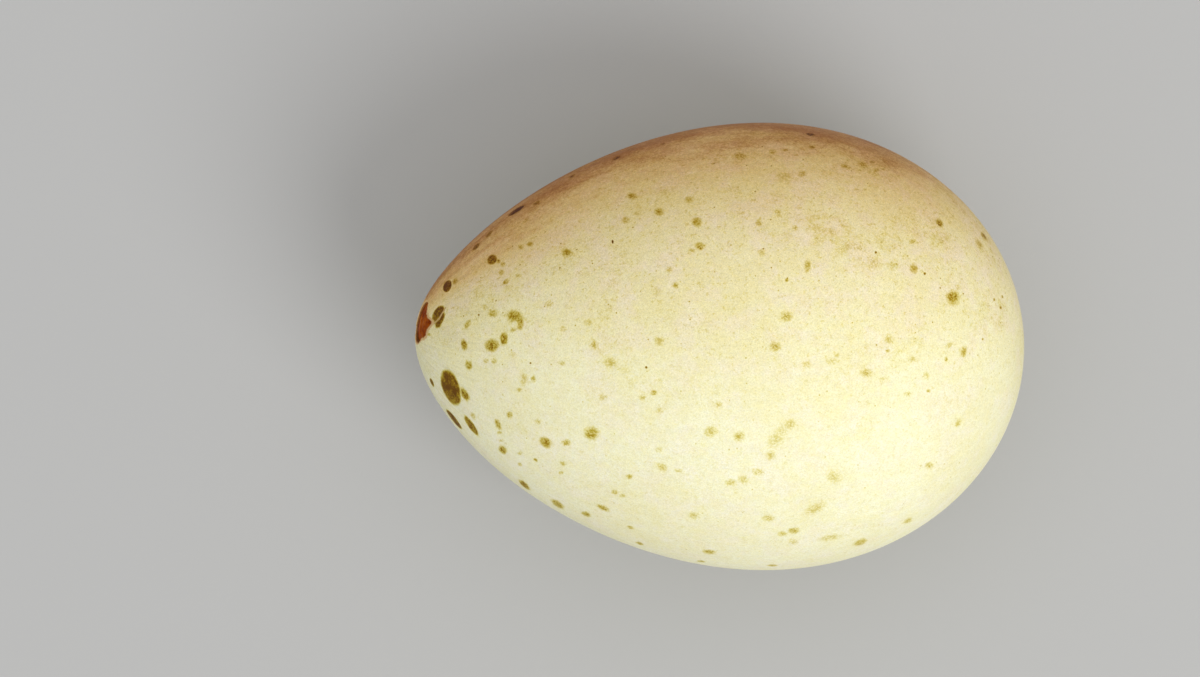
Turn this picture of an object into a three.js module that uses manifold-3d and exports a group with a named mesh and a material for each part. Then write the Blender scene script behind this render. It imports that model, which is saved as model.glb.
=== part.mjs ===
// Grouse egg lying on its side, with a chip broken out of its pointed end.
// Millimetres. +X runs along the egg to its blunt end, +Y is to its left and +Z is up.
// The origin is under the middle of the egg, on the plane that it rests on.

import * as THREE from 'three';
import { mergeVertices } from 'three/addons/utils/BufferGeometryUtils.js';
import Module from 'manifold-3d';

// Outline of the egg
const eggLength = 38.4;
const barrelRadius = 13.96; // halfway along the plain oval
const swell = 0.152; // how much fuller the blunt half is, as a share of the radius
const flatten = -0.056; // how much slimmer both ends are, as a share of the radius
const tipReach = 0.45; // how far the pointed end stands out of the plain oval
const tipReachPower = 30; // a high power keeps that to the very tip
const tipLean = 0.43; // how far the pointed end leans to +Y
const tipLeanPower = 16;

// Resting spot and chip
const restDepth = 0.38; // how much the lowest point of the belly is flattened
const shellThickness = 0.2;
const membraneThickness = 0.25;
const seatGap = 0.05; // clearance under and around the membrane

// Fineness of the faceted surface
const ringCount = 48; // from the blunt end to the tip
const sideCount = 72; // around the egg

// Outline of the chip, looking along the egg at its tip: [y, z] from the long axis.
// The near edge is jagged where the shell snapped, and the far edge runs round the tip.
const chipOutline = [
  [2.53, 1.83], [2.21, 2.2], [1.83, 2.45], [1.55, 2.79], [1.36, 3.04], [1.17, 3.0], [1.04, 2.81],
  [0.82, 2.62], [0.48, 2.54], [0.35, 2.28], [0.32, 1.99], [0.09, 1.63], [0.0, 0.86], [0.24, 0.3],
  [0.5, 0.1], [0.6, -0.25], [1.0, -0.3], [1.15, 0.3], [1.57, 0.49], [2.21, 0.58], [2.56, 1.2],
];
const chipMiddle = new THREE.Vector2(1.2, 1.3);
const chipHalfWidth = 1.2; // from its middle to its sides
const cutterFront = 1; // how far the chip's cutter stands out in front of the tip
const cutterBack = 4; // how far behind the tip it ends

const wasm = await Module();
wasm.setup();

// A point of the outline at an angle from the blunt end (0) to the tip (pi), set in by a depth.
// It returns the distance from the long axis and the place along it.
function outlinePoint(angle, depth) {
  const along = Math.cos(angle);
  const across = Math.sin(angle);
  const toTip = (1 - along) / 2;
  const halfLength = (eggLength - tipReach) / 2;
  const fullness = 1 + swell * along + flatten * along * along;
  const x = halfLength * along + tipReach * (0.5 - toTip ** tipReachPower);
  const radius = barrelRadius * across * fullness;

  // The slope of the outline gives the direction that the depth is measured in.
  const bulgeSlope = (tipReach * tipReachPower * toTip ** (tipReachPower - 1)) / 2;
  const xSlope = -across * (halfLength + bulgeSlope);
  const fullnessSlope = -across * (swell + 2 * flatten * along);
  const radiusSlope = barrelRadius * (along * fullness + across * fullnessSlope);
  const inward = depth / Math.hypot(xSlope, radiusSlope);
  return new THREE.Vector2(Math.max(0, radius + inward * xSlope), x - inward * radiusSlope);
}

// The outline's points from the tip to the blunt end, both of them on the long axis.
function eggOutline(depth) {
  const points = [];
  for (let ring = ringCount; ring >= 0; ring--) {
    points.push(outlinePoint((Math.PI * ring) / ringCount, depth));
  }
  points[0].x = 0;
  points[ringCount].x = 0;
  return points;
}

// The whole egg, set in by a depth: its outline turned round the X axis, then leant at the tip.
function eggBody(depth) {
  const geometry = new THREE.LatheGeometry(eggOutline(depth), sideCount);
  geometry.rotateZ(-Math.PI / 2);
  const place = geometry.getAttribute('position');
  for (let i = 0; i < place.count; i++) {
    const toTip = Math.min(1, 0.5 - place.getX(i) / eggLength);
    place.setY(i, place.getY(i) + tipLean * toTip ** tipLeanPower);
  }
  return asSolid(geometry);
}

// A straight-sided cutter with the chip's outline, scaled about the chip's middle.
function chipCutter(scale) {
  const corners = chipOutline.map(([y, z]) => {
    return new THREE.Vector2(y, z).sub(chipMiddle).multiplyScalar(scale).add(chipMiddle);
  });
  const options = { depth: cutterFront + cutterBack, bevelEnabled: false };
  const geometry = new THREE.ExtrudeGeometry(new THREE.Shape(corners), options);
  const yAxis = new THREE.Vector3(0, 1, 0);
  const zAxis = new THREE.Vector3(0, 0, 1);
  const xAxis = new THREE.Vector3(1, 0, 0);
  geometry.applyMatrix4(new THREE.Matrix4().makeBasis(yAxis, zAxis, xAxis));
  geometry.translate(-eggLength / 2 - cutterFront, 0, 0);
  return asSolid(geometry);
}

// A block that fills everything under the resting spot.
function underBlock(restHeight) {
  const blockHeight = 2;
  const geometry = new THREE.BoxGeometry(eggLength, 2 * barrelRadius, blockHeight);
  geometry.translate(0, 0, -restHeight - blockHeight / 2);
  return asSolid(geometry);
}

// Turns a closed geometry into a solid that can be cut and joined.
function asSolid(geometry) {
  geometry.deleteAttribute('normal');
  geometry.deleteAttribute('uv');
  const merged = mergeVertices(geometry);
  const corners = merged.index.array;
  const triangles = [];
  for (let i = 0; i < corners.length; i += 3) {
    const [a, b, c] = corners.slice(i, i + 3);
    if (a !== b && b !== c && c !== a) triangles.push(a, b, c);
  }
  const mesh = new wasm.Mesh({
    numProp: 3,
    vertProperties: new Float32Array(merged.getAttribute('position').array),
    triVerts: new Uint32Array(triangles),
  });
  return new wasm.Manifold(mesh);
}

// Turns a solid back into a named mesh with its own material.
function asMesh(name, solid, material) {
  const { vertProperties, triVerts } = solid.getMesh();
  const geometry = new THREE.BufferGeometry();
  geometry.setAttribute('position', new THREE.BufferAttribute(vertProperties, 3));
  geometry.setIndex(new THREE.BufferAttribute(triVerts, 1));
  geometry.computeVertexNormals();
  const mesh = new THREE.Mesh(geometry, material);
  mesh.name = name;
  return mesh;
}

const bellyRadius = Math.max(...eggOutline(0).map((point) => point.x));
const restHeight = bellyRadius - restDepth; // of the long axis over the resting spot
const membraneDepth = shellThickness + membraneThickness;
const membraneScale = 1 - seatGap / chipHalfWidth;

// The shell: the whole egg, flattened where it rests, with a pocket where the chip is.
function makeShell() {
  const pocket = chipCutter(1).subtract(eggBody(membraneDepth + seatGap));
  const solid = eggBody(0).subtract(underBlock(restHeight)).subtract(pocket);
  const material = new THREE.MeshStandardMaterial({ color: 0xe9e0b8, roughness: 0.5, metalness: 0 });
  return asMesh('shell', solid, material);
}

// The membrane: the dried skin under the shell, where the chip lets it show.
function makeMembrane() {
  const layer = eggBody(shellThickness).subtract(eggBody(membraneDepth));
  const solid = chipCutter(membraneScale).intersect(layer);
  const material = new THREE.MeshStandardMaterial({ color: 0x7a3a12, roughness: 0.3, metalness: 0 });
  return asMesh('membrane', solid, material);
}

const egg = new THREE.Group();
egg.add(makeShell(), makeMembrane());
egg.position.z = restHeight;

export default egg;
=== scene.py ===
# A grouse egg on its side, seen from straight above, with a chip broken out of its pointed end.
import math
import bpy
import numpy as np
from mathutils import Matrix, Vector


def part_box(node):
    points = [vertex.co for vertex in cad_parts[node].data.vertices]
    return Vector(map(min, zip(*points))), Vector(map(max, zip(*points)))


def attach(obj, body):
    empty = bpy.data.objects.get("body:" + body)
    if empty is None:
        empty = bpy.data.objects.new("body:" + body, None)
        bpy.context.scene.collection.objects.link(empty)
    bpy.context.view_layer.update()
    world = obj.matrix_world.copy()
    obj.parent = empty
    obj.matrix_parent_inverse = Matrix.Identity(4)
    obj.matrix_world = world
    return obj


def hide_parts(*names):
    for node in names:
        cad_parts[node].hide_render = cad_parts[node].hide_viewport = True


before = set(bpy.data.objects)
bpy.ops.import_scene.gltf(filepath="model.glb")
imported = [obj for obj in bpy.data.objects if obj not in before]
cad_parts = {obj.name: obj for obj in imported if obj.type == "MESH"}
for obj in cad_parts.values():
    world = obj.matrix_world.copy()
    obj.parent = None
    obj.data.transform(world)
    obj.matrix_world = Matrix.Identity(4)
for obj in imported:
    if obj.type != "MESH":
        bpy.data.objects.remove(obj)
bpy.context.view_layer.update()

mm = 0.001  # Blender works in metres
shellLow, shellHigh = (np.array(corner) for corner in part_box("shell"))
eggLength, eggBreadth, eggHeight = shellHigh - shellLow

# The form of the egg. Its length and breadth come from the frame.
form = {
    "swell": 0.152,  # how much fuller the blunt half is
    "flatten": -0.056,  # how much slimmer both ends are
    "tipReach": 0.45 * mm,  # how far the tip stands out of the plain oval
    "tipReachPower": 30,
    "tipLean": 0.43 * mm,  # how far the tip leans to +Y
    "tipLeanPower": 16,
}


def fullness(along):
    # one, plus the swell times the place along the axis, plus the flattening times its square
    return 1 + form["swell"] * along + form["flatten"] * along**2


axisPlaces = np.linspace(-1, 1, 2001)
barrelRadius = eggBreadth / 2 / np.max(np.sqrt(1 - axisPlaces**2) * fullness(axisPlaces))
halfLength = (eggLength - form["tipReach"]) / 2
axisHeight = eggHeight - eggBreadth / 2


def tipStretch(along):
    # the reach times one half less a high power of how far the place is from the blunt end
    return form["tipReach"] * (0.5 - ((1 - along) / 2) ** form["tipReachPower"])


def tipLean(x):
    # the lean times a high power of how far x is from the blunt end, as a share of the length
    return form["tipLean"] * np.clip(0.5 - x / eggLength, 0, 1) ** form["tipLeanPower"]


def eggSurface(direction, depth=0.0):
    # A unit direction from the middle becomes a point of the egg. The part of it along the axis, times half
    # the length, is the place along the egg. The part across the axis, times the radius and the fullness, is
    # the place beside the axis. Then the point moves inwards by the depth, square to the outline.
    along = direction[..., 0]
    x = halfLength * along + tipStretch(along)
    power = form["tipReachPower"]
    lengthSlope = -(halfLength + form["tipReach"] * power * ((1 - along) / 2) ** (power - 1) / 2)
    fullnessSlope = -(form["swell"] + 2 * form["flatten"] * along)
    radiusSlope = barrelRadius * (along * fullness(along) + (1 - along**2) * fullnessSlope)
    inward = depth / np.sqrt((1 - along**2) * lengthSlope**2 + radiusSlope**2)
    spread = barrelRadius * fullness(along) + inward * lengthSlope
    x = x - inward * radiusSlope
    y = spread * direction[..., 1] + tipLean(x)
    z = spread * direction[..., 2] + axisHeight
    return np.stack([x, y, np.maximum(z, 0)], axis=-1)


def unit(vectors):
    return vectors / np.linalg.norm(vectors, axis=-1, keepdims=True)


def eggNormal(direction):
    # the way from a point just under the surface to the surface itself, and straight down on the resting spot
    outer, inner = eggSurface(direction), eggSurface(direction, 0.01 * mm)
    away = outer - inner
    away[outer[..., 2] <= 0] = (0, 0, -1)
    return unit(away)


def tipDirection(y, z):
    # The direction whose point lies at y, z from the long axis, near the tip: the two are divided by the
    # radius there, which is found again from the result, until both agree.
    along = np.full(np.shape(y), -1.0)
    for _ in range(8):
        radius = barrelRadius * fullness(along)
        sideY = (y - tipLean(halfLength * along)) / radius
        sideZ = z / radius
        along = -np.sqrt(1 - sideY**2 - sideZ**2)
    return np.stack([along, sideY, sideZ], axis=-1)


# The camera looks straight down.
view = {
    "distance": 550 * mm,  # from the long axis
    "pixelsPerMm": 15.86,  # at the height of the long axis
    "photoSize": (1200, 677),
    "eggMiddle": (719.4, 345.96),  # the middle of the egg in those pixels
    "turn": math.radians(0.6),  # how much lower the blunt end lies in the picture
    "sensorWidth": 36,  # in Blender's camera units
}


def cameraFoot():
    # the point of the long axis' plane that is in the middle of the picture, turned level with the egg
    right = (view["photoSize"][0] / 2 - view["eggMiddle"][0]) / view["pixelsPerMm"] * mm
    down = (view["photoSize"][1] / 2 - view["eggMiddle"][1]) / view["pixelsPerMm"] * mm
    cosine, sine = math.cos(view["turn"]), math.sin(view["turn"])
    return right * cosine + down * sine, right * sine - down * cosine


def seenFromAbove(x, y):
    # The direction whose point shows at x, y for the camera, measured on the long axis' plane. The point is
    # drawn towards the camera's foot by its height over that plane as a share of the distance, until both
    # agree.
    footX, footY = cameraFoot()
    height = np.zeros(np.shape(x))
    along = np.zeros(np.shape(x))
    for _ in range(20):
        share = 1 - height / view["distance"]
        pointX = footX + (x - footX) * share
        pointY = footY + (y - footY) * share
        along = np.clip((pointX - tipStretch(along)) / halfLength, -0.9999, 0.9999)
        radius = barrelRadius * fullness(along)
        across = np.sqrt(1 - along**2)
        side = np.clip((pointY - tipLean(pointX)) / radius, -across, across)
        up = np.sqrt(np.maximum(across**2 - side**2, 0))
        height = up * radius
    return unit(np.stack([along, side, up], axis=-1))


# The chip: its outline, looking along the egg at its tip, as y and z from the long axis in millimetres.
chip = {
    "outline": [
        (2.53, 1.75), (2.21, 1.95), (1.83, 2.12), (1.55, 2.46), (1.36, 3.04), (1.19, 3.07), (1.04, 2.84),
        (0.82, 2.62), (0.48, 2.54), (0.35, 2.28), (0.32, 1.99), (0.09, 1.63), (0.0, 0.86), (0.24, 0.3),
        (0.5, 0.1), (0.6, -0.25), (1.0, -0.3), (1.15, 0.3), (1.57, 0.49), (2.21, 0.58), (2.56, 1.2),
    ],
    "middle": (1.2, 1.3),
    "crumble": 0.035 * mm,  # how far the fine teeth of the edge reach
    "bevelWidth": 0.16 * mm,  # where the outermost layer has flaked off beside the edge
    "bevelAbove": 0.5 * mm,  # the same at the chip's upper edge
    "bevelDepth": 0.06 * mm,
    "undercut": 0.12 * mm,  # how far the pocket reaches under the shell
    "shellDepth": 0.14 * mm,  # from the surface down to the shell's underside
    "pocketDepth": 0.5 * mm,
    "shapeFade": 0.15,  # the angle in which the grid around the chip turns from its outline to a circle
}

chipMiddle = tipDirection(chip["middle"][0] * mm, chip["middle"][1] * mm)
chipAcross = unit(np.cross(chipMiddle, (0.0, 0.0, 1.0)))
chipUp = np.cross(chipAcross, chipMiddle)
tipRadius = barrelRadius * fullness(-1.0)  # distance on the tip for each radian of direction


def aroundChip(reach, turn):
    # The direction that lies the angle reach away from the chip's middle, on the bearing turn:
    # the middle times the cosine of the reach, plus the bearing times its sine.
    bearing = np.cos(turn)[..., None] * chipAcross + np.sin(turn)[..., None] * chipUp
    return np.cos(reach)[..., None] * chipMiddle + np.sin(reach)[..., None] * bearing


def chipEdge(turn):
    # The angle from the chip's middle to its edge on each bearing: straight lines between the points of the
    # outline, plus waves whose counts share no factor, which make the fine teeth.
    points = np.array(chip["outline"]) * mm
    direction = tipDirection(points[:, 0], points[:, 1])
    reach = np.arccos(direction @ chipMiddle)
    bearing = np.arctan2(direction @ chipUp, direction @ chipAcross)
    edge = np.interp(turn, bearing, reach, period=2 * math.pi)
    teeth = np.sin(31 * turn + 1) + 0.7 * np.sin(53 * turn + 2 * np.sin(7 * turn)) + 0.5 * np.sin(97 * turn)
    return edge + teeth * chip["crumble"] / 2 / tipRadius


def gridMesh(name, points):
    # A grid of points, rows by columns, made a closed skin: each column joins the next, the last joins the
    # first, and the first and last rows shrink to one point each.
    columns = points.shape[1]
    inner = points[1:-1].reshape(-1, 3)
    vertices = np.concatenate([inner, points[:1].mean(axis=1), points[-1:].mean(axis=1)])
    index = np.arange(len(inner)).reshape(-1, columns)
    after = np.roll(index, -1, axis=1)
    quads = np.stack([index[:-1], after[:-1], after[1:], index[1:]], axis=-1)
    startFan = np.stack([np.full(columns, len(inner)), after[0], index[0]], axis=-1)
    endFan = np.stack([np.full(columns, len(inner) + 1), index[-1], after[-1]], axis=-1)
    corners = np.concatenate([startFan.ravel(), quads.ravel(), endFan.ravel()]).astype(np.int32)
    sizes = np.concatenate([np.full(columns, 3), np.full(quads.size // 4, 4), np.full(columns, 3)])
    starts = np.concatenate([[0], np.cumsum(sizes)[:-1]]).astype(np.int32)
    mesh = bpy.data.meshes.new(name)
    mesh.vertices.add(len(vertices))
    mesh.vertices.foreach_set("co", vertices.ravel().astype(np.float32))
    mesh.loops.add(len(corners))
    mesh.loops.foreach_set("vertex_index", corners)
    mesh.polygons.add(len(sizes))
    mesh.polygons.foreach_set("loop_start", starts)
    mesh.update(calc_edges=True)
    mesh.shade_smooth()
    return mesh


def skinValues(rows):
    # one value for each point of the skin that gridMesh makes, from the same rows and columns
    inner = rows[1:-1].reshape(-1, *rows.shape[2:])
    return np.concatenate([inner, rows[:1].mean(axis=1), rows[-1:].mean(axis=1)])


def writeValues(mesh, name, values, domain="POINT"):
    # a number or a vector for each point, or for each corner of each face
    kind, field = ("FLOAT_VECTOR", "vector") if values.ndim > 1 else ("FLOAT", "value")
    data = mesh.attributes.new(name, kind, domain).data
    data.foreach_set(field, values.ravel().astype(np.float32))


def faceCorners(mesh):
    # the point at each corner of the faces, face after face, and how many corners each face has
    points = np.empty(len(mesh.loops), dtype=np.int32)
    mesh.loops.foreach_get("vertex_index", points)
    sizes = np.empty(len(mesh.polygons), dtype=np.int32)
    mesh.polygons.foreach_get("loop_total", sizes)
    return points, sizes


def addPiece(name, mesh, material, node):
    piece = bpy.data.objects.new(name, mesh)
    bpy.context.scene.collection.objects.link(piece)
    mesh.materials.append(material)
    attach(piece, "root")
    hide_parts(node)
    return piece


# Spots on the side that faces the camera: x and y from the egg's middle in millimetres, the
# length and breadth that show, the turn of the length in degrees, and how dark it is. A number below 0 is a
# bare place.
spotsAbove = {
    "tip": [
        (-16.94, -2.82, 2.42, 1.17, 107, 0.97), (-16.03, -3.22, 0.95, 0.48, 122, 0.67),
        (-17.77, 1.86, 1.2, 0.58, 56, 0.93), (-17.97, 1.5, 0.45, 0.4, 50, 0.76),
        (-17.65, 1.46, 1.15, 0.44, 60, 0.88), (-17.74, 1.17, 0.45, 0.42, 0, 0.76),
        (-18.33, 0.54, 0.28, 0.22, 0, 0.55),
        (-17.2, 3.6, 0.8, 0.5, 65, 1.0), (-16.7, 3.9, 0.4, 0.3, 60, 0.5),
        (-14.4, 5.3, 0.7, 0.6, 50, 0.85), (-14.0, 5.2, 0.3, 0.3, 0, 0.5), (-13.7, 5.0, 0.3, 0.3, 0, 0.5),
        (-13.8, 4.5, 0.4, 0.3, 45, 0.5), (-13.5, 3.9, 0.4, 0.3, 45, 0.5),
        (-15.6, -5.2, 1.5, 0.4, 125, 0.84), (-16.7, -4.8, 1.6, 0.3, 128, 0.95),
        (-18.1, -2.5, 0.6, 0.2, 110, 0.9), (-15.5, -4.57, 0.45, 0.3, 115, 0.3),
        (-12.9, 1.7, 1.1, 0.8, 160, 0.6), (-12.6, 1.3, 0.8, 0.5, 85, 0.62),
        (-13.0, 0.9, 0.4, 0.3, 20, 0.4), (-12.9, 1.25, 0.4, 0.4, 0, -0.8), (-14.35, -0.1, 0.9, 0.8, 0, 0.66),
        (-14.2, -0.1, 0.2, 0.2, 0, -0.5), (-13.6, 0.3, 0.8, 0.5, 85, 0.65),
        (-16.1, -0.1, 0.7, 0.4, 100, 0.68), (-15.8, -1.4, 0.6, 0.45, 100, 0.62),
        (-14.3, 1.9, 0.55, 0.45, 0, 0.5), (-14.8, 2.3, 0.4, 0.3, 120, 0.33),
        (-15.9, 1.2, 0.7, 0.3, 60, 0.48), (-13.2, -4.5, 0.4, 0.4, 0, 0.5),
        (-13.9, -5.1, 0.7, 0.35, 115, 0.57), (-13.8, -5.6, 0.3, 0.2, 0, 0.35),
        (-13.7, -6.1, 0.3, 0.2, 0, 0.3), (-13.6, -6.7, 0.6, 0.5, 135, 0.65),
        (-12.9, 8.4, 1.25, 0.25, 34, 0.93), (-15.4, 6.1, 0.65, 0.22, 48, 0.82),
        (-14.6, 6.9, 0.6, 0.2, 48, 0.6), (-11.6, 8.9, 0.5, 0.2, 30, 0.55), (-12.3, 7.8, 0.4, 0.2, 40, 0.3),
        (-12.6, 6.1, 0.3, 0.3, 0, 0.45), (-12.0, 6.3, 0.4, 0.3, 20, 0.5), (-12.7, 4.3, 0.3, 0.2, 0, 0.3),
        (-14.7, -1.1, 0.35, 0.3, 0, 0.38), (-14.2, -1.1, 0.35, 0.35, 0, 0.36),
        (-13.04, -0.66, 0.5, 0.3, 0, 0.2),
        (-15.2, 1.8, 0.13, 0.13, 0, 0.8), (-11.9, -1.2, 0.13, 0.13, 0, 0.8),
    ],
    "left": [
        (-9.7, 5.8, 0.6, 0.5, 0, 0.5), (-10.9, -6.2, 0.8, 0.6, 140, 0.65), (-9.6, -6.2, 0.5, 0.4, 0, 0.44),
        (-8.0, -5.6, 0.9, 0.8, 0, 0.54), (-11.5, -7.3, 0.3, 0.2, 150, 0.5),
        (-12.5, -7.6, 0.3, 0.2, 150, 0.45), (-12.5, -6.9, 0.3, 0.2, 0, 0.4),
        (-12.3, -2.2, 0.8, 0.5, 90, 0.28), (-11.7, -2.2, 0.4, 0.35, 90, 0.4),
        (-12.6, -2.9, 0.35, 0.25, 0, 0.4), (-7.9, -0.0, 0.6, 0.5, 110, 0.35),
        (-6.8, -1.1, 0.8, 0.7, 0, 0.26), (-8.3, 1.4, 0.5, 0.4, 0, 0.28), (-9.9, 1.0, 0.4, 0.3, 0, 0.3),
        (-10.8, 2.5, 0.5, 0.4, 0, 0.34), (-7.3, -3.3, 0.5, 0.4, 0, 0.25), (-4.1, -3.0, 0.4, 0.3, 0, 0.45),
        (-4.8, -3.3, 0.4, 0.3, 0, 0.35), (-3.8, 0.3, 0.6, 0.5, 0, 0.3), (-4.0, 3.4, 0.6, 0.5, 0, 0.15),
        (-2.8, 3.8, 0.4, 0.4, 0, 0.4), (-3.2, 4.8, 0.4, 0.4, 0, 0.3), (-4.6, -1.4, 0.16, 0.16, 0, 0.9),
        (-6.8, 6.5, 0.25, 0.13, 90, 1.0), (-9.9, -1.2, 0.4, 0.3, 0, 0.3), (-11.4, -4.9, 0.4, 0.3, 160, 0.3),
        (-9.8, -7.5, 0.4, 0.3, 130, 0.3), (-9.9, -8.1, 0.3, 0.2, 0, 0.35),
    ],
    "top": [
        (-5.6, 9.4, 0.6, 0.4, 0, 0.5), (-3.9, 8.4, 0.6, 0.5, 0, 0.55), (-6.0, 7.9, 0.5, 0.4, 0, 0.42),
        (-3.5, 9.7, 0.4, 0.3, 0, 0.3), (-2.0, 9.2, 0.5, 0.4, 0, 0.35), (-1.5, 7.8, 0.6, 0.6, 90, 0.6),
        (-1.3, 6.3, 0.6, 0.5, 0, 0.55), (-1.8, 6.0, 0.4, 0.3, 0, 0.3), (-5.3, 8.3, 0.5, 0.3, 0, 0.25),
        (-6.6, 11.8, 0.65, 0.2, 25, 0.6), (-9.4, 10.6, 0.5, 0.2, 30, 0.6), (-3.7, 12.7, 0.4, 0.1, 12, 0.5),
        (1.2, 12.0, 0.9, 0.4, 0, 0.34), (3.2, 12.3, 0.4, 0.3, 0, 0.4), (5.6, 13.4, 0.6, 0.2, 172, 0.72),
        (5.7, 12.6, 0.4, 0.2, 0, 0.6), (4.0, 12.4, 0.5, 0.2, 0, 0.4), (5.1, 10.9, 0.5, 0.4, 0, 0.4),
        (4.0, 10.7, 0.9, 0.6, 0, 0.25), (7.8, 11.4, 0.6, 0.3, 165, 0.4), (9.0, 11.5, 0.6, 0.5, 0, 0.36),
        (9.8, 11.2, 0.4, 0.2, 0, 0.4), (9.5, 11.7, 0.4, 0.2, 0, 0.4), (2.4, 7.8, 0.4, 0.4, 0, 0.4),
        (3.6, 8.5, 0.4, 0.3, 0, 0.3), (1.3, 8.4, 0.4, 0.3, 0, 0.3), (4.7, 7.5, 0.3, 0.3, 0, 0.3),
        (5.5, 5.1, 0.8, 0.4, 90, 0.45), (4.2, 4.2, 0.22, 0.22, 0, 0.62), (2.6, 5.9, 0.4, 0.4, 0, 0.33),
    ],
    "right": [
        (4.2, 1.9, 0.7, 0.6, 0, 0.37), (3.5, 0.0, 0.7, 0.6, 0, 0.42), (9.7, 5.3, 0.8, 0.8, 0, 0.18),
        (10.9, 5.2, 0.7, 0.6, 0, 0.25), (10.7, 0.5, 0.6, 0.5, 0, 0.3), (10.6, -0.2, 0.3, 0.2, 0, 0.4),
        (9.3, -1.6, 0.7, 0.55, 0, 0.36), (7.1, -0.9, 0.6, 0.4, 20, 0.2), (7.4, -0.5, 0.3, 0.3, 0, 0.24),
        (5.5, -1.1, 0.5, 0.4, 0, 0.25), (13.8, 7.9, 0.65, 0.4, 125, 0.6), (12.1, 6.7, 0.4, 0.3, 0, 0.4),
        (12.2, 5.0, 0.6, 0.5, 100, 0.55), (14.7, 3.2, 0.95, 0.8, 100, 0.6),
        (15.0, 3.9, 0.4, 0.3, 0, 0.25), (16.6, 7.1, 0.6, 0.3, 125, 0.55), (16.3, 6.6, 0.8, 0.3, 125, 0.38),
        (15.4, -0.2, 0.7, 0.4, 80, 0.48), (14.5, 0.2, 0.5, 0.3, 35, 0.28), (14.3, -0.7, 0.3, 0.2, 90, 0.5),
        (12.9, 4.7, 0.16, 0.16, 0, 0.8), (9.8, 6.0, 0.16, 0.16, 0, 0.8), (10.3, -2.0, 0.6, 0.4, 0, 0.15),
        (11.9, -2.9, 0.4, 0.3, 0, 0.3), (12.2, -0.7, 0.4, 0.4, 0, 0.25), (13.1, -1.7, 0.4, 0.3, 90, 0.25),
        (13.2, -2.7, 0.3, 0.2, 0, 0.4), (17.8, 3.3, 0.2, 0.2, 0, 0.6), (17.3, 3.1, 0.2, 0.2, 0, 0.5),
        (17.7, 2.6, 0.2, 0.2, 0, 0.6), (16.6, 0.6, 0.16, 0.16, 0, 0.6), (15.1, -4.7, 0.5, 0.3, 60, 0.3),
        (13.3, -7.4, 0.5, 0.4, 0, 0.38), (12.0, -10.9, 0.6, 0.3, 30, 0.4), (9.0, -12.3, 0.9, 0.4, 20, 0.5),
    ],
    "low": [
        (-0.5, -5.4, 0.7, 0.6, 0, 0.42), (1.3, -5.7, 0.6, 0.6, 0, 0.4), (-0.0, -3.7, 0.4, 0.4, 0, 0.25),
        (-3.7, -4.1, 0.5, 0.4, 0, 0.25), (4.5, -4.9, 0.7, 0.6, 0, 0.28), (3.6, -5.9, 1.0, 0.7, 40, 0.24),
        (4.0, -5.3, 1.0, 0.7, 55, 0.17), (3.3, -6.9, 0.55, 0.5, 0, 0.33), (2.5, -7.9, 0.8, 0.4, 175, 0.32),
        (1.6, -8.4, 0.6, 0.5, 0, 0.3), (0.8, -8.6, 0.6, 0.4, 0, 0.3), (-3.5, -7.7, 0.7, 0.4, 150, 0.34),
        (-2.5, -7.9, 0.5, 0.3, 160, 0.25), (-3.8, -6.6, 0.4, 0.3, 0, 0.25),
        (-5.6, -8.3, 0.4, 0.3, 0, 0.42), (-6.5, -9.3, 0.4, 0.3, 160, 0.42),
        (-6.0, -9.5, 0.4, 0.2, 0, 0.3), (-7.2, -10.3, 0.9, 0.3, 155, 0.5),
        (-5.5, -11.5, 0.4, 0.2, 160, 0.45), (7.3, -8.2, 0.9, 0.75, 160, 0.24),
        (6.1, -10.2, 1.3, 0.6, 28, 0.3),
        (3.2, -10.8, 0.8, 0.4, 172, 0.31), (-1.5, -10.7, 0.6, 0.4, 0, 0.33),
        (4.8, -11.6, 0.7, 0.4, 0, 0.45), (4.1, -11.8, 0.6, 0.3, 0, 0.33), (4.8, -12.3, 0.5, 0.4, 0, 0.24),
        (7.1, -12.0, 1.3, 0.35, 12, 0.27), (-0.5, -13.0, 0.8, 0.3, 175, 0.5),
        (-4.9, -12.5, 0.5, 0.2, 162, 0.55),
        (3.5, -13.8, 0.6, 0.15, 0, 0.5), (-1.0, -13.6, 0.5, 0.15, 175, 0.5),
        (-12.2, -8.9, 0.9, 0.3, 138, 0.72), (-10.1, -10.1, 0.9, 0.4, 145, 0.6),
        (-8.3, -10.7, 0.6, 0.3, 158, 0.55),
    ],
    "crack": [  # a hairline crack that runs up from the chip's notch; its pale line, with the spots' stain left out, is painted highlight on its lit edge
        (-17.85, 1.38, 0.66, 0.09, 46, -1.0), (-17.57, 1.75, 0.76, 0.095, 59, -1.0),
        (-17.37, 2.09, 0.55, 0.085, 58, -1.0),
    ],
}
spotStretch = 1.6  # how much longer a spot can be on the shell than it shows

# Spots on the sides that can't be seen from above: the same kinds, strewn at random but denser near the tip
spotsBelow = {
    "count": 230,
    "seed": 5448,
    "crowdedShare": 0.3,
    "crowdedAlong": (-0.99, -0.6),  # where those lie, from -1 at the tip to 1 at the blunt end
    "otherAlong": (-0.97, 0.97),
    "smallest": 0.25 * mm,
    "largest": 1.15 * mm,
    "largestAtTip": 2.3 * mm,
    "tipEnd": -0.75,  # up to where they can be that large
    "slimmest": 0.55,  # breadth as a share of length
    "tones": (0.2, 0.95),  # the palest and the darkest
    "toneDraw": 0.45,  # what a random draw can add to the palest
    "toneGrowth": 0.35,  # what each millimetre over the size below adds
    "toneSize": 0.4,  # in millimetres
}


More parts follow.
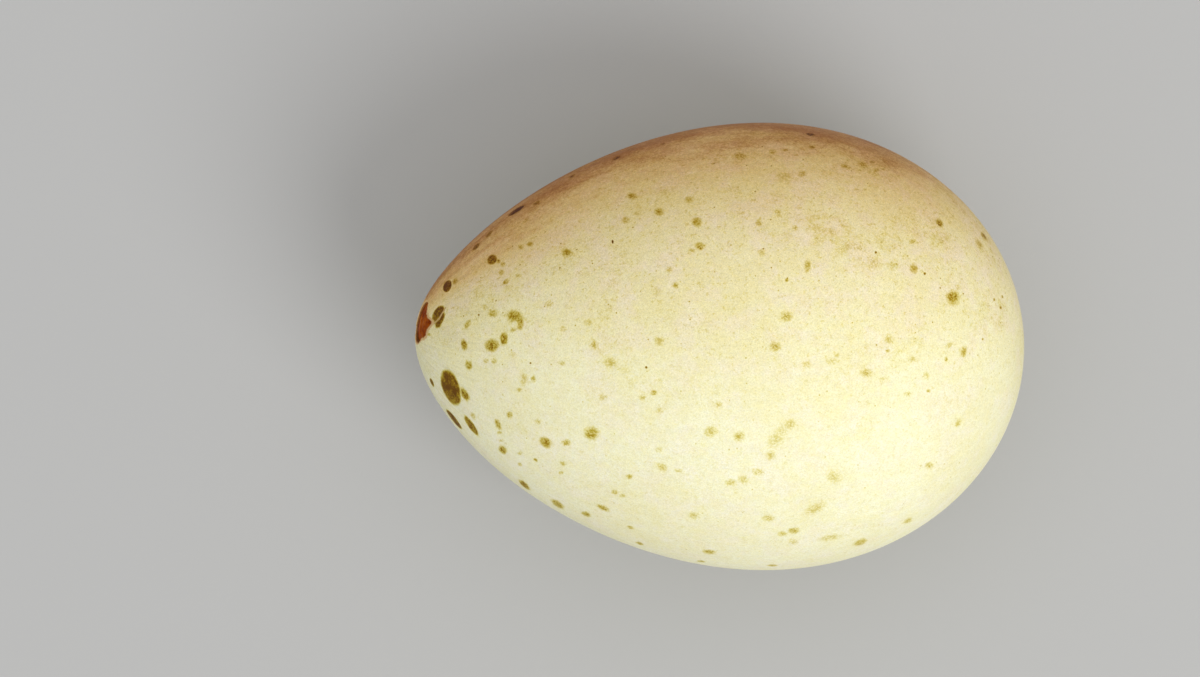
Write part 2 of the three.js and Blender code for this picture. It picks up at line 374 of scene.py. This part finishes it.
def spotsSeen():
    # An ellipse that shows from above is laid back on the sloping shell. Its form there is the one whose
    # shadow, cast straight down on the picture, is the ellipse that shows, and its own two axes are found
    # from that.
    rows = np.array([row for group in spotsAbove.values() for row in group])
    direction = seenFromAbove(rows[:, 0] * mm, rows[:, 1] * mm)
    normal = eggNormal(direction)
    sideways = unit(np.cross(normal, (1.0, 0.0, 0.0)))
    endways = np.cross(sideways, normal)
    slope = np.stack([endways, sideways], axis=-1)
    turn = np.radians(rows[:, 4])
    axes = np.stack([[np.cos(turn), np.sin(turn)], [-np.sin(turn), np.cos(turn)]]).transpose(2, 0, 1)
    halfSizes = rows[:, 2:4] * mm / 2
    shares = (axes / halfSizes[:, :, None]) @ slope[:, :2]
    squares, turns = np.linalg.eigh(shares.transpose(0, 2, 1) @ shares)
    longest = spotStretch * halfSizes.max(axis=1, keepdims=True)
    squares = np.maximum(squares, 1 / longest**2)
    vectors = (slope @ turns).transpose(0, 2, 1) * np.sqrt(squares)[:, :, None]
    return eggSurface(direction), vectors[:, 0], vectors[:, 1], rows[:, 5]


def spotsStrewn():
    # Directions drawn evenly along the axis, some of them crowded towards the tip, and around the lower half.
    # Sizes follow a high power of an even draw, so most spots are small, and larger ones are darker.
    rng = np.random.default_rng(spotsBelow["seed"])
    count = spotsBelow["count"]
    crowded = rng.random(count) < spotsBelow["crowdedShare"]
    nearTip = rng.uniform(*spotsBelow["crowdedAlong"], count)
    anywhere = rng.uniform(*spotsBelow["otherAlong"], count)
    along = np.where(crowded, nearTip, anywhere)
    around = rng.uniform(math.pi, 2 * math.pi, count)
    across = np.sqrt(1 - along**2)
    direction = np.stack([along, across * np.cos(around), across * np.sin(around)], axis=-1)
    normal = eggNormal(direction)
    endways = unit(np.cross(normal, rng.normal(size=(count, 3))))
    sideways = np.cross(normal, endways)
    largest = np.where(along < spotsBelow["tipEnd"], spotsBelow["largestAtTip"], spotsBelow["largest"])
    size = spotsBelow["smallest"] + (largest - spotsBelow["smallest"]) * rng.random(count) ** 3
    slimness = rng.uniform(spotsBelow["slimmest"], 1.0, count)
    palest, darkest = spotsBelow["tones"]
    drawn = spotsBelow["toneDraw"] * rng.random(count) ** 2
    tone = palest + drawn + spotsBelow["toneGrowth"] * (size / mm - spotsBelow["toneSize"])
    lengthways = endways / (size / 2)[:, None]
    breadthways = sideways / (size * slimness / 2)[:, None]
    return eggSurface(direction), lengthways, breadthways, np.clip(tone, palest, darkest)


spotNames = ["nearestSpot", "secondSpot", "thirdSpot"]
spotRange = 3 * mm  # how far from its middle a spot can matter
outsideSpots = 9  # a place past every spot's edge, in half lengths


def writeSpots(mesh):
    # For each face, the nearest spots are found, one for each name. Each corner of the face then gets its
    # place in the spot, as shares of the half length and half breadth, and the spot's tone, so that the
    # material can draw the spot's edge finer than the faces are.
    spots = [np.concatenate(pair) for pair in zip(spotsSeen(), spotsStrewn())]
    centres, lengthways, breadthways, tones = spots
    faceCount = len(mesh.polygons)
    middles = np.empty(faceCount * 3)
    mesh.polygons.foreach_get("center", middles)
    middles = middles.reshape(-1, 3)
    nearest = np.full((len(spotNames), faceCount), np.inf)
    chosen = np.full((len(spotNames), faceCount), -1)
    for number, centre in enumerate(centres):
        near = np.flatnonzero(np.abs(middles - centre).max(axis=1) < spotRange)
        offset = middles[near] - centre
        gone = np.hypot(offset @ lengthways[number], offset @ breadthways[number])
        ranked = np.vstack([nearest[:, near], gone])
        owners = np.vstack([chosen[:, near], np.full(len(near), number)])
        order = np.argsort(ranked, axis=0)[: len(spotNames)]
        nearest[:, near] = np.take_along_axis(ranked, order, axis=0)
        chosen[:, near] = np.take_along_axis(owners, order, axis=0)
    cornerPoints, sizes = faceCorners(mesh)
    places = np.empty(len(mesh.vertices) * 3)
    mesh.vertices.foreach_get("co", places)
    places = places.reshape(-1, 3)[cornerPoints]
    for name, owner in zip(spotNames, chosen):
        owner = np.repeat(owner, sizes)
        offset = places - centres[owner]
        lengthShare = (offset * lengthways[owner]).sum(axis=1)
        breadthShare = (offset * breadthways[owner]).sum(axis=1)
        values = np.stack([lengthShare, breadthShare, tones[owner]], axis=-1)
        values[:, :2] = np.clip(values[:, :2], -outsideSpots, outsideSpots)
        values[owner < 0] = (outsideSpots, outsideSpots, 0)
        writeValues(mesh, name, values, "CORNER")


mapMargin = 0.02  # the space left free around each half on the map for baked pictures


def writeFlatMap(mesh, direction):
    # The map for baked pictures. The upper and the lower half of the egg each become an ellipse of true
    # areas: the direction's x and y, times the root of one over one plus its height. The lower one lies under
    # the other.
    cornerPoints, sizes = faceCorners(mesh)
    starts = np.cumsum(sizes) - sizes
    corner = direction[cornerPoints]
    height = np.add.reduceat(corner[:, 2], starts) / sizes
    half = np.repeat(np.where(height >= 0, 1.0, -1.0), sizes)
    spread = np.sqrt(1 / (1 + half * corner[:, 2]))
    u = 1 / 2 + (1 / 2 - mapMargin) * corner[:, 0] * spread
    v = 1 / 2 + half / 4 + (1 / 4 - mapMargin) * corner[:, 1] * spread
    flat = mesh.uv_layers.new(name="OFBake")
    flat.data.foreach_set("uv", np.stack([u, v], axis=-1).ravel().astype(np.float32))


def writeMeridians(mesh, direction):
    # A place for streaks that run lengthwise and close up towards both ends: the place along the egg, and the
    # way from the long axis with a fixed length, in millimetres.
    around = unit(direction[:, 1:] + 1e-6)  # the small number keeps it from being zero at the ends
    place = np.column_stack([direction[:, 0] * halfLength, around * barrelRadius / 2]) / mm
    writeValues(mesh, "meridian", place)


# How far the left side's salmon stain and its painted shade reach. Places along the egg run from -1 at the
# tip to 1 at the blunt end.
stainAndShadeSide = {
    "underneath": 0.3,  # how fast it falls off below the long axis
    "axisFade": 0.25,  # how near the axis it fades at both ends, as a share of the breadth
    "pointed": (-0.4, -0.65),  # where it begins to be wider in the pointed half, and where it is widest
    "widening": 0.4,
    "widenedSines": (0.35, 0.7),  # how far round to the left the widening begins, and where it is full
    "blunt": (0.4, 0.8),  # where the surface's own slope begins to count, and where it counts most
    "slopeShare": 0.8,
}


def rising(values, low, high):
    # 0 up to low, 1 from high on, and a straight line between
    return np.clip((values - low) / (high - low), 0, 1)


def leftShare(direction):
    # How far a point lies round to the left: the sine of its angle round the long axis, less underneath. It
    # fades at the very tip, comes nearer to 1 in the pointed half, and towards the blunt end it is mostly the
    # surface's own slope to the left. It places the salmon stain and the painted shade of the side away from
    # the light.
    along, left, up = np.moveaxis(direction, -1, 0)
    across = np.maximum(np.sqrt(np.clip(1 - along**2, 0, 1)), stainAndShadeSide["axisFade"])
    sine = (left + stainAndShadeSide["underneath"] * np.minimum(up, 0)) / across
    widened = rising(along, *stainAndShadeSide["pointed"]) * rising(sine, *stainAndShadeSide["widenedSines"])
    sine = sine + (1 - sine) * widened * stainAndShadeSide["widening"]
    slopeShare = rising(along, *stainAndShadeSide["blunt"]) * stainAndShadeSide["slopeShare"]
    return sine + (eggNormal(direction)[..., 1] - sine) * slopeShare


# The shell's grid. The rows past the chip lie further and further apart, as angles at the egg's middle.
shellGrid = {
    "columns": 420,
    "bevelRows": 4,
    "firstStep": 0.0036,
    "stepGrowth": 1.08,
    "longestStep": 0.0182,
    "sharpAngle": math.radians(50),  # faces that meet at more than this keep a crisp edge
}


def shellMesh():
    # Rows run from the middle of the pocket's floor up its wall, over the broken edge, and on around the egg
    # to the point opposite the chip. Each row is a ring of directions, whose angle from the chip's middle
    # changes with the bearing as the edge does, less and less with the distance. Each row has its own depth.
    turn = np.linspace(0, 2 * math.pi, shellGrid["columns"], endpoint=False)
    edge = chipEdge(turn)
    under = edge + chip["undercut"] / tipRadius
    upperShare = np.clip(np.sin(turn), 0, 1) ** 2
    bevel = chip["bevelWidth"] + (chip["bevelAbove"] - chip["bevelWidth"]) * upperShare
    rim = edge + bevel / tipRadius

    # each stretch of the pocket: how many rows, the angle and depth at its end, and its end on the flat map
    stretches = [
        (8, under, chip["pocketDepth"], 0.5 * edge),  # the floor
        (3, under, chip["shellDepth"], 0.65 * edge),  # the wall
        (3, edge, chip["shellDepth"], 0.8 * edge),  # the shell's underside
        (4, edge, chip["bevelDepth"], 0.95 * edge),  # the snapped edge
    ]
    rows = [(0, chip["pocketDepth"], 1, 0)]  # angle, depth, how broken it is, and the angle on the flat map
    for count, toReach, toDepth, toMap in stretches:
        fromReach, fromDepth, broken, fromMap = rows[-1]
        for share in np.arange(1, count + 1) / count:
            reach = fromReach + (toReach - fromReach) * share
            depth = fromDepth + (toDepth - fromDepth) * share
            rows.append((reach, depth, broken, fromMap + (toMap - fromMap) * share))

    # the flaked band beside the edge, and the rest of the egg
    for share in np.arange(1, shellGrid["bevelRows"] + 1) / shellGrid["bevelRows"]:
        reach = edge + (rim - edge) * share
        depth = chip["bevelDepth"] * (1 - share) ** 1.5
        rows.append((reach, depth, 0.9 * (1 - share**3), 0.95 * edge + (rim - 0.95 * edge) * share))
    middleRim = rim.mean()
    reach, step = middleRim, shellGrid["firstStep"]
    while reach < math.pi - 1.5 * step:
        reach += step
        step = min(step * shellGrid["stepGrowth"], shellGrid["longestStep"])
        gone = reach - middleRim
        fade = np.exp(-gone / chip["shapeFade"]) * (1 - gone / (math.pi - middleRim))
        bent = reach + (rim - middleRim) * fade
        rows.append((bent, 0, 0, bent))
    rows.append((math.pi, 0, 0, math.pi))

    columns = ([np.broadcast_to(value, turn.shape) for value in values] for values in zip(*rows))
    reach, depth, broken, flatReach = (np.stack(values) for values in columns)
    grid = np.broadcast_to(turn, reach.shape)
    direction = aroundChip(reach, grid)
    mesh = gridMesh("shellSkin", eggSurface(direction, depth))
    mesh.set_sharp_from_angle(angle=shellGrid["sharpAngle"])
    writeValues(mesh, "broken", skinValues(broken))
    writeValues(mesh, "toLeft", skinValues(leftShare(direction)))
    writeMeridians(mesh, skinValues(direction))
    writeSpots(mesh)
    writeFlatMap(mesh, skinValues(aroundChip(flatReach, grid)))
    return mesh


# The dried skin that shows in the chip
skin = {
    "depth": 0.152 * mm,  # from the egg's surface to the top of the skin
    "sag": 0.11 * mm,  # how much deeper it lies along the chip's lower edge
    "sagWidth": 1.1 * mm,  # how far from the chip's middle it lies that deep
    "wrinkle": 0.014 * mm,
    "heldFrom": 0.8,  # the share of the way out from which the wrinkles fade towards the rim
    "bottomDepth": 0.46 * mm,
    "tuck": 0.08 * mm,  # how far it reaches under the shell
    "clearance": 0.008 * mm,  # between it and the shell's underside, at least
    "thinnest": 0.03 * mm,
    "columns": 256,
    "topRows": 46,
    "wallRows": 3,
    "bottomRows": 16,
}


def skinMesh():
    # A closed lens. Rows run from its middle out to the rim on top, down the rim, and back to the middle
    # underneath. The top's depth is the skin's, plus a sag that grows towards the chip's lower edge, plus
    # crossing waves, which end where the shell holds the skin.
    turn = np.linspace(0, 2 * math.pi, skin["columns"], endpoint=False)
    edge = chipEdge(turn) + skin["tuck"] / tipRadius
    topRows, wallRows, bottomRows = skin["topRows"], skin["wallRows"], skin["bottomRows"]
    out = np.concatenate([np.linspace(0, 1, topRows), np.ones(wallRows), np.linspace(1, 0, bottomRows)])
    down = np.concatenate([np.zeros(topRows), np.linspace(0, 1, wallRows + 2)[1:-1], np.ones(bottomRows)])
    reach = out[:, None] * edge
    direction = aroundChip(reach, np.broadcast_to(turn, reach.shape))
    across = (direction @ chipAcross) * tipRadius / mm
    upward = (direction @ chipUp) * tipRadius / mm
    waves = (
        np.sin(5.2 * upward + 1.1 * across + 2 * np.sin(1.3 * across))
        + 0.8 * np.sin(9.1 * upward - 2.3 * across + 1.5 * np.sin(2.1 * across))
        + 0.5 * np.sin(19 * upward + 4 * across)
        + 0.3 * np.sin(31 * upward - 9 * across + 1)
    )
    held = rising(out, skin["heldFrom"], 1)[:, None]
    sag = rising(-across * mm, 0, skin["sagWidth"]) ** 1.5 * skin["sag"]
    top = skin["depth"] + sag + skin["wrinkle"] * waves * (1 - held)
    top = np.clip(top, chip["shellDepth"] + skin["clearance"], skin["bottomDepth"] - skin["thinnest"])
    depth = top + (skin["bottomDepth"] - top) * down[:, None]
    return gridMesh("driedSkin", eggSurface(direction, depth))


class Paint:
    # A material's nodes, or one value among them. Sums and products of values add their Math nodes.
    def __init__(self, tree, socket=None):
        self.tree = tree
        self.socket = socket

    def node(self, kind, settings=None, values=None, output=0):
        # adds a node: first its settings, then a value or a link for each socket that is named or numbered
        made = self.tree.nodes.new("ShaderNode" + kind)
        for name, setting in (settings or {}).items():
            if name == "stops":
                ramp = made.color_ramp.elements
                while len(ramp) < len(setting):
                    ramp.new(1.0)
                for element, (position, colour) in zip(ramp, setting):
                    element.position = position
                    element.color = (*colour, 1)
            else:
                setattr(made, name, setting)
        for name, value in (values or {}).items():
            socket = made.inputs[name]
            if isinstance(value, Paint):
                self.tree.links.new(value.socket, socket)
            elif socket.type == "RGBA":
                socket.default_value = (*value, 1)
            else:
                socket.default_value = value
        return Paint(self.tree, made.outputs[output] if len(made.outputs) else None)

    def math(self, operation, first, second=0.0):
        return self.node("Math", {"operation": operation}, {0: first, 1: second})

    def __add__(self, other):
        return self.math("ADD", self, other)

    def __sub__(self, other):
        return self.math("SUBTRACT", self, other)

    def __rsub__(self, other):
        return self.math("SUBTRACT", other, self)

    def __mul__(self, other):
        return self.math("MULTIPLY", self, other)

    def scaled(self, base, gain):
        # base, plus gain times the value
        return self * gain + base

    def atLeast(self, other):
        return self.math("MAXIMUM", self, other)

    def atMost(self, other):
        return self.math("MINIMUM", self, other)

    def rises(self, low, high):
        # 0 below low, 1 above high, and a smooth step between
        values = {"Value": self, "From Min": low, "From Max": high}
        return self.node("MapRange", {"interpolation_type": "SMOOTHSTEP"}, values)

    def noise(self, size, detail=2.0, roughness=0.5, stretch=(1, 1, 1), shift=0.0, place=None):
        # soft lumps about as wide as size, around 0.5
        place = place or self.node("TexCoord", output=3)
        scale = [1 / size / factor for factor in stretch]
        shifts = (shift, shift * 0.7, shift * 1.3)  # another part of the same noise
        place = self.node("Mapping", None, {"Vector": place, "Scale": scale, "Location": shifts})
        values = {"Vector": place, "Scale": 1.0, "Detail": detail, "Roughness": roughness}
        return self.node("TexNoise", None, values)

    def cells(self, size):
        # the distance from points strewn about size apart, as a share of it, and a chance for each point
        away = self.node("TexVoronoi", None, {"Vector": self.node("TexCoord", output=3), "Scale": 1 / size})
        colour = Paint(self.tree, away.socket.node.outputs[1])
        return away, self.node("SeparateXYZ", None, {0: colour})

    def number(self, name, output=2):
        return self.node("Attribute", {"attribute_name": name}, output=output)

    def ramp(self, stops):
        return self.node("ValToRGB", {"stops": stops}, {"Fac": self})

    def tint(self, base, colour, share=1.0):
        # base times colour, by the share
        settings = {"data_type": "RGBA", "blend_type": "MULTIPLY"}
        return self.node("Mix", settings, {0: share, 6: base, 7: colour}, output=2)

    def blend(self, first, second, share):
        return self.node("Mix", {"data_type": "RGBA"}, {0: share, 6: first, 7: second}, output=2)


def newPaint(name):
    material = bpy.data.materials.new(name)
    material.use_nodes = True
    material.node_tree.nodes.clear()
    return material, Paint(material.node_tree)


def finishPaint(paint, values, bump, distance):
    # the surface itself: a main shader with these values, and fine relief of this depth
    normal = paint.node("Bump", None, {"Height": bump, "Distance": distance, "Strength": 1.0})
    surface = paint.node("BsdfPrincipled", None, {**values, "Normal": normal})
    paint.node("OutputMaterial", None, {"Surface": surface})


# The shell's colours, as shares of light, and its other looks
shellFinish = {
    "creamLight": (0.89, 0.88, 0.655),
    "creamDeep": (0.865, 0.84, 0.585),
    "creamPale": (0.89, 0.838, 0.73),
    "yellowed": [(0.36, (1, 1, 1)), (0.64, (0.985, 0.965, 0.855))],  # fine shades towards yellow
    "stain": [  # what a stain leaves of the cream, from none to the darkest
        (0.0, (1, 1, 1)), (0.15, (0.905, 0.87, 0.66)), (0.3, (0.8, 0.74, 0.43)), (0.5, (0.645, 0.545, 0.17)),
        (0.65, (0.52, 0.415, 0.055)), (0.8, (0.36, 0.22, 0.005)), (1.0, (0.17, 0.072, 0.0)),
    ],
    "leftStainAndShade": [  # from cream to the salmon stain along the left side, by how far round to the left it is; its darkest stops, furthest round, are painted shade of the side away from the light
        (0.27, (1, 1, 1)), (0.42, (1, 0.985, 0.94)), (0.57, (0.99, 0.945, 0.83)), (0.69, (0.985, 0.91, 0.79)),
        (0.76, (0.965, 0.865, 0.71)), (0.84, (0.925, 0.765, 0.55)), (0.9, (0.87, 0.65, 0.41)),
        (0.93, (0.8, 0.54, 0.31)), (0.955, (0.68, 0.4, 0.19)), (0.98, (0.54, 0.26, 0.1)),
        (1.0, (0.43, 0.17, 0.045)),
    ],
    "flaked": (0.68, 0.45, 0.2),
    # the snapped face of the shell, darkened with painted shade as if the broken wall lay in shadow
    "snapped": (0.38, 0.17, 0.05),
    "ridge": (0.56, 0.37, 0.14),
    # how strong each of these is on the right side, and what the left side adds to it
    "clouds": (0.06, 0.26),
    "flecks": (0.1, 0.16),
    "dots": (0.35, 0.4),
    "palePatches": (0.4, 0.4),
    "fineShades": (0.44, 0.26),
    "lines": (0.08, 0.34),  # fine lengthwise lines, and what the tip adds to them
    "roughness": 0.39,
    "gloss": 0.1,
    "glow": 0.05,  # how much of the light passes into the shell
    "glowTint": (1.0, 0.75, 0.45),
    "glowDepth": 0.8 * mm,
    "relief": 0.02 * mm,
}

# The lumps of noise in the shell's finish. Those along the meridians are in millimetres, as their places are.
shellLumps = {
    "ragged": {"size": 0.34 * mm, "detail": 3, "roughness": 0.6},
    "grain": {"size": 0.13 * mm, "detail": 2, "roughness": 0.6},
    "fine": {"size": 0.075 * mm, "detail": 2, "roughness": 0.6, "shift": 3},
    "patchy": {"size": 0.5 * mm, "detail": 2, "shift": 14},
    "cloud": {"size": 4.2 * mm, "detail": 4, "roughness": 0.62},
    "mottle": {"size": 0.75 * mm, "detail": 4, "roughness": 0.65, "shift": 5},
    "flecks": {"size": 0.27 * mm, "detail": 3, "roughness": 0.65, "shift": 9},
    "slow": {"size": 7 * mm, "detail": 2, "shift": 2},
    "pale": {"size": 1.7 * mm, "detail": 5, "roughness": 0.65, "shift": 12},
    "yellow": {"size": 0.8 * mm, "detail": 5, "roughness": 0.65, "shift": 21},
    "waves": {"size": 1.6 * mm, "detail": 2, "shift": 8},
    "streaks": {"size": 1.0, "detail": 4, "roughness": 0.6, "stretch": (4, 1, 1), "shift": 7},
    "lines": {"size": 0.22, "detail": 3, "roughness": 0.65, "stretch": (9, 1, 1), "shift": 1},
}
dotSpacing = 0.5 * mm

# How a spot's look follows its tone: each pair is for the darkest spot, and what is added for the palest
spotLook = {
    "waver": (0.14, 1.3),  # how far noise moves its edge
    "fadeStart": (0.86, -0.85),  # in half lengths from its middle
    "fadeEnd": (1.06, 0.75),
    "graininess": (0.07, 0.75),
    "strength": (1.0, 0.3),
    "middle": 1.08,  # how deep it is in its middle
    "edgeLoss": 0.26,  # how much less at its edge
    "patches": (0.86, 0.24),  # how deep its light patches are, and what its dark ones add
}


def spotDepth(paint, name, ragged, grain, patchy):
    # How deep the stain of one of the nearest spots is, and how bare it leaves the place; along the crack
    # that bare line is painted highlight. Noise pushes the place in the spot about, and moves the edge of a
    # dark spot less. A pale spot fades out from its middle and is grainier.
    mark = paint.number(name, output=1)
    along, across, tone = (paint.node("SeparateXYZ", None, {0: mark}, output=axis) for axis in range(3))
    soft = 1 - paint.math("ABSOLUTE", tone)
    squared = along * along + across * across
    away = paint.math("SQRT", squared) * ((ragged - 0.5) * soft.scaled(*spotLook["waver"]) + 1)
    inside = 1 - away.rises(soft.scaled(*spotLook["fadeStart"]), soft.scaled(*spotLook["fadeEnd"]))
    grainy = 1 - (1 - grain) * soft.scaled(*spotLook["graininess"])
    deep = spotLook["middle"] - squared.atMost(1.0) * spotLook["edgeLoss"]
    deep = deep * patchy.scaled(*spotLook["patches"])
    dark = inside * tone.atLeast(0.0) * grainy * deep * soft.scaled(*spotLook["strength"])
    bareAndLit = inside * (0 - tone).atLeast(0.0)
    return dark, bareAndLit


def paintShell():
    material, paint = newPaint("eggshell")
    toLeft = paint.number("toLeft")
    meridian = paint.number("meridian", output=1)
    brokenShare = paint.number("broken")

    def lumps(name, place=None):
        return paint.noise(**shellLumps[name], place=place)

    ragged = lumps("ragged")
    grain = lumps("grain").rises(0.36, 0.6)
    fine = lumps("fine")
    patchy = lumps("patchy").rises(0.35, 0.62)

    # the stains: spots, clouds, flecks and dots
    spots, bareAndLit = spotDepth(paint, spotNames[0], ragged, grain, patchy)
    for name in spotNames[1:]:
        nextSpots, nextBareAndLit = spotDepth(paint, name, ragged, grain, patchy)
        spots = spots.atLeast(nextSpots)
        bareAndLit = bareAndLit.atLeast(nextBareAndLit)
    # bare places clear the stain; along the crack this pale line is painted highlight
    spots = spots * (1 - bareAndLit)

    upper = toLeft.rises(-0.45, 0.5)
    clouds = lumps("cloud").rises(0.46, 0.7) * lumps("mottle").rises(0.4, 0.66)
    clouds = clouds * grain.scaled(0.4, 0.6) * upper.scaled(*shellFinish["clouds"])
    flecks = lumps("flecks").rises(0.54, 0.7)
    flecks = flecks * grain.scaled(0.5, 0.5) * upper.scaled(*shellFinish["flecks"])
    away, chance = paint.cells(dotSpacing)
    dots = (1 - away.rises(0.05, 0.15)) * chance.rises(0.64, 0.93) * upper.scaled(*shellFinish["dots"])
    stain = spots + clouds + flecks + dots + (grain - 0.5) * 0.07 + 0.02
    stain = stain.atLeast(0.0).atMost(1.0)

    # the ground colour, the left side's salmon stain with its painted shade, and fine shades
    ground = paint.blend(shellFinish["creamLight"], shellFinish["creamDeep"], lumps("slow").rises(0.35, 0.65))
    pale = lumps("pale").rises(0.44, 0.64) * upper.scaled(*shellFinish["palePatches"])
    ground = paint.blend(ground, shellFinish["creamPale"], pale)
    ground = paint.tint(ground, lumps("yellow").ramp(shellFinish["yellowed"]))
    streaks = lumps("streaks", meridian)
    sway = (streaks - 0.5) * 0.11 + (ragged - 0.5) * 0.06 + (grain - 0.5) * 0.015
    # the left side's salmon stain, which deepens into painted shade furthest round to the left
    streaked = toLeft * 0.5 + 0.498 + sway * toLeft.rises(0.3, 0.9)
    colour = paint.tint(ground, streaked.ramp(shellFinish["leftStainAndShade"]))
    colour = paint.tint(colour, stain.ramp(shellFinish["stain"]))
    lines = lumps("lines", meridian)
    nearTip = paint.node("SeparateXYZ", None, {0: meridian}).rises(-13.0, -18.0)
    shade = 1 - (fine - 0.5) * upper.scaled(*shellFinish["fineShades"]) - (ragged - 0.5) * 0.14
    shade = shade - (lines - 0.5) * nearTip.scaled(*shellFinish["lines"])
    colour = paint.tint(colour, paint.node("CombineXYZ", None, {0: shade, 1: shade, 2: shade}))

    # the crack's ridge inside its pale line of painted highlight, and the chip's broken edge, whose snapped
    # face is darkened with painted shade
    colour = paint.blend(colour, shellFinish["ridge"], bareAndLit.rises(0.8, 0.95))
    broken = brokenShare + (ragged - 0.5) * 0.5
    # the snapped face of the broken shell is darkened with painted shade
    edge = paint.blend(shellFinish["flaked"], shellFinish["snapped"], brokenShare.rises(0.88, 0.98))
    colour = paint.blend(colour, edge, broken.rises(0.2, 0.75))

    # the relief: pores, fine grain, low waves and the ridge of the crack
    waves = lumps("waves")
    relief = fine.rises(0.3, 0.48) * 0.2 + waves * 0.5 + ragged * 0.25 + lines * nearTip * 0.6 + bareAndLit * 0.8
    values = {
        "Base Color": colour,
        "Roughness": waves * 0.12 + shellFinish["roughness"] + spots * 0.12 + broken * 0.2,
        "Specular IOR Level": shellFinish["gloss"],
        "Subsurface Weight": shellFinish["glow"],
        "Subsurface Radius": shellFinish["glowTint"],
        "Subsurface Scale": shellFinish["glowDepth"],
    }
    finishPaint(paint, values, relief, shellFinish["relief"])
    return material


skinFinish = {
    "colours": [
        (0.0, (0.07, 0.007, 0.0)), (0.3, (0.21, 0.03, 0.0)), (0.55, (0.34, 0.066, 0.001)),
        (0.8, (0.46, 0.125, 0.008)), (1.0, (0.55, 0.21, 0.03)),
    ],
    "foldSize": 0.3 * mm,
    "fineSize": 0.09 * mm,
    "patchSize": 0.8 * mm,
    "roughness": 0.28,
    "gloss": 0.01,
    "relief": 0.012 * mm,
}


def paintSkin():
    material, paint = newPaint("membrane")
    folds = paint.noise(skinFinish["foldSize"], detail=4, roughness=0.6, stretch=(1, 1.6, 1))
    fine = paint.noise(skinFinish["fineSize"], detail=3, roughness=0.6, shift=3)
    patches = paint.noise(skinFinish["patchSize"], detail=2, shift=6)
    shade = folds * 0.8 + fine * 0.5 + patches * 1.1 - 0.68
    values = {
        "Base Color": shade.ramp(skinFinish["colours"]),
        "Roughness": fine * 0.2 + skinFinish["roughness"],
        "Specular IOR Level": skinFinish["gloss"],
    }
    finishPaint(paint, values, folds + fine * 0.4, skinFinish["relief"])
    return material


addPiece("dressedShell", shellMesh(), paintShell(), "shell")
print("shell made")
addPiece("dressedSkin", skinMesh(), paintSkin(), "membrane")
print("dried skin made")

# A plain pale floor under a wide soft light, with a nearer one from the lower right
studio = {
    "floorWidth": 6.0,
    "floorColour": (0.46, 0.46, 0.455),
    "floorRoughness": 0.9,
    "floorDepth": 0.05 * mm,  # how far below the egg it lies
    "lights": {  # the way it comes from, distance, width, power, colour
        "softKey": ((0.48, -0.46, 0.74), 0.7, 0.4, 2.35, (1.0, 1.0, 1.0)),
        "softTop": ((0.05, 0.0, 1.0), 0.9, 1.1, 0.9, (1.0, 1.0, 1.0)),
    },
    "skyColour": (1.0, 1.0, 1.0),
    "skyStrength": 0.69,
}


def addStudio():
    half = studio["floorWidth"] / 2
    below = -studio["floorDepth"]
    mesh = bpy.data.meshes.new("floor")
    mesh.from_pydata([(-half, -half, below), (half, -half, below), (half, half, below), (-half, half, below)],
                     [], [(0, 1, 2, 3)])
    floor = bpy.data.objects.new("floor", mesh)
    bpy.context.scene.collection.objects.link(floor)
    material, paint = newPaint("paleFloor")
    values = {"Base Color": studio["floorColour"], "Roughness": studio["floorRoughness"]}
    surface = paint.node("BsdfPrincipled", None, values)
    paint.node("OutputMaterial", None, {"Surface": surface})
    mesh.materials.append(material)

    world = bpy.data.worlds.new("paleRoom")
    world.use_nodes = True
    background = world.node_tree.nodes["Background"]
    background.inputs["Color"].default_value = (*studio["skyColour"], 1)
    background.inputs["Strength"].default_value = studio["skyStrength"]
    bpy.context.scene.world = world

    for name, (way, distance, width, power, colour) in studio["lights"].items():
        light = bpy.data.lights.new(name, "AREA")
        light.shape = "DISK"
        light.size = width
        light.energy = power
        light.color = colour
        lamp = bpy.data.objects.new(name, light)
        away = unit(np.array(way))
        lamp.location = away * distance + (0, 0, axisHeight)
        lamp.rotation_euler = (math.acos(away[2]), 0, math.atan2(away[1], away[0]) + math.pi / 2)
        bpy.context.scene.collection.objects.link(lamp)


def addCamera():
    # The lens covers the photo's width at the height of the long axis.
    camera = bpy.data.cameras.new("camera")
    widthSeen = view["photoSize"][0] / view["pixelsPerMm"] * mm
    camera.sensor_width = view["sensorWidth"]
    camera.lens = view["sensorWidth"] * view["distance"] / widthSeen
    camera.clip_start = 0.01
    holder = bpy.data.objects.new("camera", camera)
    holder.location = (*cameraFoot(), axisHeight + view["distance"])
    holder.rotation_euler = (0, 0, view["turn"])
    bpy.context.scene.collection.objects.link(holder)
    bpy.context.scene.camera = holder
    bpy.context.scene.view_settings.view_transform = "Standard"


addStudio()
addCamera()
print("studio made")

bpy.context.view_layer.update()
